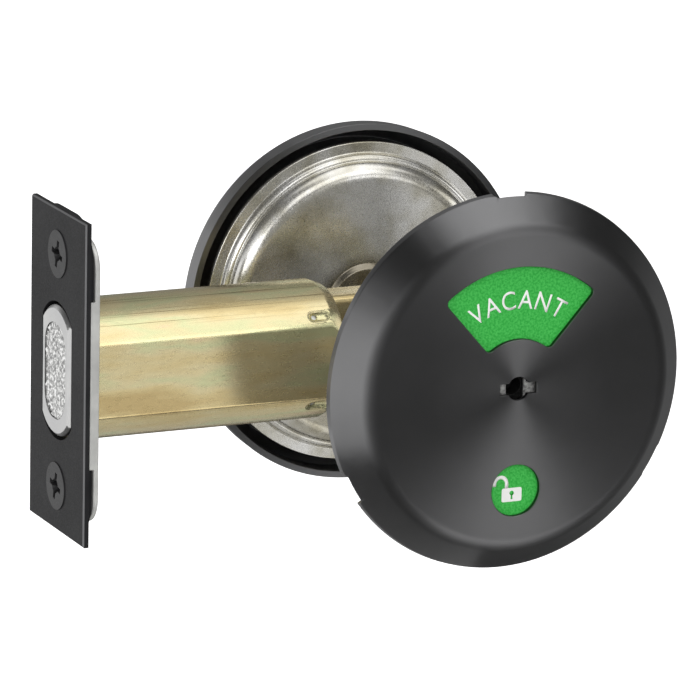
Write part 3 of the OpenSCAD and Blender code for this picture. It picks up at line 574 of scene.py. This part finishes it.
# Outside rose
# A turned steel cover in satin black with a wide bevel, a fan window, a round one and a tool opening.
# It snaps over the housing, and a slot in its rim lets it be pried off. The cut walls of the windows are
# darkened with painted shade.
ROSE_EDGE = 0.12
ROSE_FOLD = 24
ACROSS_AXIS = (1, 0, 1)
CUT_START = 0.10
CUT_FULL = 0.30
SHEET_BACK = 3
SHEET_CLEAR = 4
WINDOWS_REACH = 24
BEVEL_START = 25
CUT_WALL_PAINTED_SHADE = (0.25, 0.25, 0.25)
MIDDLE_START = 2
MIDDLE_END = 17
MIDDLE_ROUGHER = 0.17


def vector_math(tree, operation, vector, by=(0, 0, 0)):
    """Works a vector of a shader with a constant one."""
    node = add(tree, "VectorMath")
    node.operation = operation
    node.inputs[1].default_value = by
    tree.links.new(vector, node.inputs[0])
    return node.outputs


turned_rings, rings_in, rings_out = new_group(
    "turned_rings", {"Vector": "Vector", "Ring scale": "Float"}, {"Rings": "Float", "Radius": "Float"})
from_axis = vector_math(turned_rings, "MULTIPLY", rings_in.outputs["Vector"], ACROSS_AXIS)["Vector"]
radius = vector_math(turned_rings, "LENGTH", from_axis)["Value"]
lines = add(turned_rings, "TexNoise", {"Detail": 3, "Roughness": 0.7})
lines.noise_dimensions = "1D"
turned_rings.links.new(radius, lines.inputs["W"])
turned_rings.links.new(rings_in.outputs["Ring scale"], lines.inputs["Scale"])
turned_rings.links.new(lines.outputs["Fac"], rings_out.inputs["Rings"])
turned_rings.links.new(radius, rings_out.inputs["Radius"])

rose_black, tree, shader, coords, tint = grained(
    "rose_black", {"Metallic": 1.0, "Anisotropic": 0.90},
    [(0.35, (0.212, 0.212, 0.215)), (0.65, (0.228, 0.228, 0.231))],
    fine=3600, cloud=80, relief=0.002)
rings = use_group(tree, turned_rings, coords, {"Ring scale": 9000})
brushing = spread(tree, rings.outputs["Rings"], 0.30, 0.36)
in_middle = spread(tree, rings.outputs["Radius"], MIDDLE_ROUGHER, 0, MIDDLE_START * MM, MIDDLE_END * MM)
tree.links.new(joined(tree, "ADD", brushing, in_middle), shader.inputs["Roughness"])

rose_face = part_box("outside_rose")[0].y
depth = split(tree, coords)["Y"]
under_face = spread(tree, depth, 0, 1, rose_face + CUT_START * MM, rose_face + CUT_FULL * MM)
in_sheet = spread(tree, depth, 1, 0, rose_face + SHEET_BACK * MM, rose_face + SHEET_CLEAR * MM)
by_windows = spread(tree, rings.outputs["Radius"], 1, 0, WINDOWS_REACH * MM, BEVEL_START * MM)
# Painted shade: the walls cut through the sheet near the windows are darkened.
painted_shade_on_cut_walls = joined(tree, "MULTIPLY", joined(tree, "MULTIPLY", under_face, in_sheet), by_windows)
tree.links.new(tone(tree, tint, CUT_WALL_PAINTED_SHADE, painted_shade_on_cut_walls), shader.inputs["Base Color"])

to_world = add(tree, "VectorTransform")
to_world.vector_type = "VECTOR"
to_world.convert_from = "OBJECT"
to_world.convert_to = "WORLD"
outward = vector_math(tree, "MULTIPLY", coords, ACROSS_AXIS)["Vector"]
tree.links.new(outward, to_world.inputs["Vector"])
across_rings = vector_math(tree, "NORMALIZE", to_world.outputs["Vector"])["Vector"]
tree.links.new(across_rings, shader.inputs["Tangent"])

dress("outside_rose", rose_black, ROSE_EDGE, fold=ROSE_FOLD)

# Inside liner and mounting screws
# A bright zinc plated pressing with a raised middle closes the inside rose, darkened round its boss with
# painted shade.
# Two machine screws with a rolled thread run through it into the posts of the outside housing.
LINER_EDGE = 0.2
LINER_FOLD = 24
BOSS_SHADE_FULL = 7.8
BOSS_SHADE_END = 10
BOSS_PAINTED_SHADE = (0.42, 0.39, 0.34)
SCREW_APART = 15.0
THREAD_RADIUS = 2.4
THREAD_ROOT = 2.05
THREAD_PITCH = 0.8
THREAD_STEPS = 18
THREAD_FROM_TIP = 0.5
THREAD_FROM_HEAD = 6
THREAD_SUNK = 0.05
CREST_WORN = 0.02
RADIUS_WITHIN = 0.02

bright_zinc, tree, shader, coords, tint = grained(
    "bright_zinc", {"Metallic": 0.9},
    [(0.34, (0.44, 0.41, 0.32)), (0.47, (0.64, 0.62, 0.55)), (0.60, (0.80, 0.79, 0.76))],
    fine=2800, cloud=90, relief=0.005, roughness=(0.18, 0.30))
rings = use_group(tree, turned_rings, coords, {})
# Painted shade: the colour is darkened round the boss, dimming its bright reflection.
painted_shade_by_boss = spread(tree, rings.outputs["Radius"], 1, 0, BOSS_SHADE_FULL * MM, BOSS_SHADE_END * MM)
tree.links.new(tone(tree, tint, BOSS_PAINTED_SHADE, painted_shade_by_boss), shader.inputs["Base Color"])

liner = dress("inside_liner", bright_zinc, LINER_EDGE, fold=LINER_FOLD)


def turn_down(bm):
    """Takes the copied shanks down to the root of the thread."""
    for vert in bm.verts:
        axis = Vector((math.copysign(SCREW_APART * MM, vert.co.x), vert.co.y, 0))
        if abs((vert.co - axis).length - THREAD_RADIUS * MM) < RADIUS_WITHIN * MM:
            vert.co = axis.lerp(vert.co, THREAD_ROOT / THREAD_RADIUS)


dress("mounting_screws", dull_zinc, LINK_EDGE, reshape=turn_down)

THREAD_PROFILE = (
    (THREAD_ROOT - THREAD_SUNK, 0.06),
    (THREAD_RADIUS - CREST_WORN, 0.5),
    (THREAD_ROOT - THREAD_SUNK, 0.94))
screw_low, screw_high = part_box("mounting_screws")
thread_start = screw_low.y + THREAD_FROM_TIP * MM
turns = int((screw_high.y - THREAD_FROM_HEAD * MM - thread_start) / (THREAD_PITCH * MM))
bm = bmesh.new()
for side in (-SCREW_APART, SCREW_APART):
    ridge = [bm.verts.new(((side + reach) * MM, thread_start + share * THREAD_PITCH * MM, 0))
             for reach, share in THREAD_PROFILE]
    flanks = [bm.edges.new(pair) for pair in zip(ridge, ridge[1:])]
    bmesh.ops.spin(bm, geom=[*ridge, *flanks], cent=(side * MM, 0, 0), axis=(0, 1, 0),
                   dvec=(0, THREAD_PITCH * MM / THREAD_STEPS, 0), angle=2 * math.pi * turns,
                   steps=turns * THREAD_STEPS)
bmesh.ops.recalc_face_normals(bm, faces=bm.faces)
place(bm, "screw_threads", "lock_case", dull_zinc)

# Inside rose
# A black cover over the liner, with a nylon bush for the thumbturn and a spring washer under it.
# It is turned from steel and finished like the outside rose.
dress("inside_rose", rose_black, ROSE_EDGE, fold=ROSE_FOLD)
dress("turn_bush", nylon, LINK_EDGE)
dress("spring_washer", plain_steel, LINK_EDGE)

# Thumbturn
# A black cast half-round grip with hollow sides on a round base, turned by hand to throw the bolt.
# A spring clip on its shaft holds it in the inside rose.
GRIP_EDGE = 0.5

dress("thumbturn", rose_black, GRIP_EDGE, rounds=3)

# Floor and card
# A plain pale floor lies far below the lock, which a door would hold up.
# A dim card lies under the tube and shows only in reflections.
FLOOR_DROP = 2.0
FLOOR_HALF = 30.0
FLOOR_LIGHT = 1.0
CARD_SIZE = (84, 90)
CARD_AT = (-34, 15, -70)
CARD_LIGHT = 0.03


def sheet(name, size, middle, light):
    """A flat lit sheet of the studio."""
    bm = bmesh.new()
    bmesh.ops.create_grid(
        bm, x_segments=1, y_segments=1, size=0.5,
        matrix=Matrix.Translation(middle) @ Matrix.Diagonal((*size, 1, 1)))
    mesh = bpy.data.meshes.new(name)
    bm.to_mesh(mesh)
    bm.free()
    piece = bpy.data.objects.new(name, mesh)
    bpy.context.scene.collection.objects.link(piece)
    paint, *_ = new_finish(name, {
        "Base Color": (0.9, 0.9, 0.9, 1), "Emission Color": (1, 1, 1, 1), "Emission Strength": light})
    mesh.materials.append(paint)
    piece.visible_diffuse = False
    piece.visible_shadow = False
    return piece


floor = sheet("floor", (2 * FLOOR_HALF, 2 * FLOOR_HALF), (0, 0, -FLOOR_DROP), FLOOR_LIGHT)
floor.visible_glossy = False
card = sheet("card", Vector(CARD_SIZE) * MM, Vector(CARD_AT) * MM, CARD_LIGHT)
card.visible_camera = False

# Room
# Soft panels stand round the lock in a dim room, and the camera sees a plain white page behind it.
# A panel has a direction, half its width and height and the fade of its edge in degrees, and a brightness.
ROOM_LIGHT = 0.06
FRONT_FADE = 0.2
WHITE = (1, 1, 1, 1)
PANELS = {
    "over the front": ((0.24, -0.28, 0.92), 14, 19, 15, 1.38),
    "over the back": ((0.20, 0.40, 0.88), 20, 12, 20, 0.27),
    "behind": ((0.20, 0.90, 0.30), 25, 14, 25, 0.16),
    "left and behind": ((-0.93, 0.34, -0.16), 48, 22, 18, 1.0),
    "front left": ((-0.74, -0.62, 0.16), 16, 20, 16, 0.42),
    "right and behind": ((0.86, 0.42, -0.25), 12, 12, 25, 0.28),
    "front strip": ((0.41, -0.90, 0.14), 7, 5, 5, 1.45),
    "low in front": ((0.38, -0.73, -0.57), 8, 11, 6, 1.20)}

world = bpy.data.worlds.new("studio")
bpy.context.scene.world = world
world.use_nodes = True
tree = world.node_tree
toward = add(tree, "TexCoord").outputs["Generated"]


def along(tree, ray, axis, full, none):
    """How squarely a ray runs along an axis, 1 at the cosine full and 0 at the cosine none."""
    facing = vector_math(tree, "DOT_PRODUCT", ray, axis)["Value"]
    size = joined(tree, "ABSOLUTE" if full < none else "ADD", facing)
    mask = add(tree, "MapRange", {"From Min": none, "From Max": full})
    mask.interpolation_type = "SMOOTHSTEP"
    tree.links.new(size, mask.inputs["Value"])
    return mask.outputs["Result"]


glow = ROOM_LIGHT
for direction, half_width, half_height, fade, brightness in PANELS.values():
    middle = Vector(direction).normalized()
    side = Vector((0, 0, 1)).cross(middle).normalized()
    panel = along(tree, toward, middle, FRONT_FADE, 0.0)
    for axis, half in ((side, half_width), (middle.cross(side), half_height)):
        edge_in = math.sin(math.radians(half))
        edge_out = math.sin(math.radians(half + fade))
        panel = joined(tree, "MULTIPLY", panel, along(tree, toward, axis, edge_in, edge_out))
    glow = joined(tree, "ADD", joined(tree, "MULTIPLY", panel, brightness), glow)
room = tree.nodes["Background"]
room.inputs["Color"].default_value = WHITE
tree.links.new(glow, room.inputs["Strength"])
page = add(tree, "Background", {"Color": WHITE})
choice = add(tree, "MixShader")
tree.links.new(add(tree, "LightPath").outputs["Is Camera Ray"], choice.inputs["Fac"])
tree.links.new(room.outputs["Background"], choice.inputs[1])
tree.links.new(page.outputs["Background"], choice.inputs[2])
tree.links.new(choice.outputs["Shader"], tree.nodes["World Output"].inputs["Surface"])

# Lamps
# A large soft box in front lights the painted and printed surfaces and shows in no reflection.
# Smaller ones light only the tube, the flange, the liner or the housing.


def soft_box(name, size, position, power, pieces=()):
    """A lamp that faces the lock, for all of it or for some of its pieces alone."""
    lamp = bpy.data.lights.new(name, "AREA")
    lamp.shape = "RECTANGLE"
    lamp.size, lamp.size_y = size
    lamp.energy = power
    box = bpy.data.objects.new(name, lamp)
    bpy.context.scene.collection.objects.link(box)
    stand = Vector(position)
    box.matrix_world = Matrix.Translation(stand) @ stand.to_track_quat("Z", "Y").to_matrix().to_4x4()
    if pieces:
        lit = bpy.data.collections.new(name)
        for piece in pieces:
            lit.objects.link(piece)
        box.light_linking.receiver_collection = lit
    return box


front_fill = soft_box("front_fill", (1.1, 1.1), (-0.35, -1.2, 0.4), 14)
front_fill.visible_glossy = False
soft_box("front_strip", (0.30, 0.45), (0.41, -1.06, -0.31), 0.31, [tube, case_flange, liner])
soft_box("upper_front", (0.80, 0.40), (0.20, -0.80, 0.57), 1.6, [tube, liner])
soft_box("tube_end", (0.50, 0.50), (1.0, -0.20, 0.40), 0.8, [tube])
soft_box("liner_left", (1.0, 0.55), (-0.68, -0.80, 0.11), 4.6, [liner])
soft_box("liner_right", (0.60, 0.60), (1.05, -0.45, 0.10), 1.7, [liner])
soft_box("housing_back", (0.10, 0.10), (0.14, 0.10, 0.12), 0.35, [housing])

# Camera
# A long lens at the photograph's angle, fitted to the real sizes of the faceplate and the roses.
# The Standard view transform shows the colours as they are set.
CAMERA_AZIMUTH = math.radians(24.64)
CAMERA_ELEVATION = math.radians(14.189)
CAMERA_ROLL = math.radians(1.221)
CAMERA_DISTANCE = 1.0345
CAMERA_LENS = 301.46
CAMERA_REACH = 200
CAMERA_AIM = Vector((-14.29, 0, -1.11)) * MM

level = math.cos(CAMERA_ELEVATION)
back = Vector((
    -math.sin(CAMERA_AZIMUTH) * level,
    -math.cos(CAMERA_AZIMUTH) * level,
    math.sin(CAMERA_ELEVATION)))
across = Vector((0, 0, 1)).cross(back).normalized()
up = back.cross(across)
rolled_across = math.cos(CAMERA_ROLL) * across + math.sin(CAMERA_ROLL) * up
rolled_up = back.cross(rolled_across)
lens = bpy.data.cameras.new("camera")
lens.lens = CAMERA_LENS
lens.clip_end = CAMERA_REACH
camera = bpy.data.objects.new("camera", lens)
bpy.context.scene.collection.objects.link(camera)
turn = Matrix((rolled_across, rolled_up, back)).transposed().to_4x4()
camera.matrix_world = Matrix.Translation(CAMERA_AIM + CAMERA_DISTANCE * back) @ turn
bpy.context.scene.camera = camera
bpy.context.scene.view_settings.view_transform = "Standard"
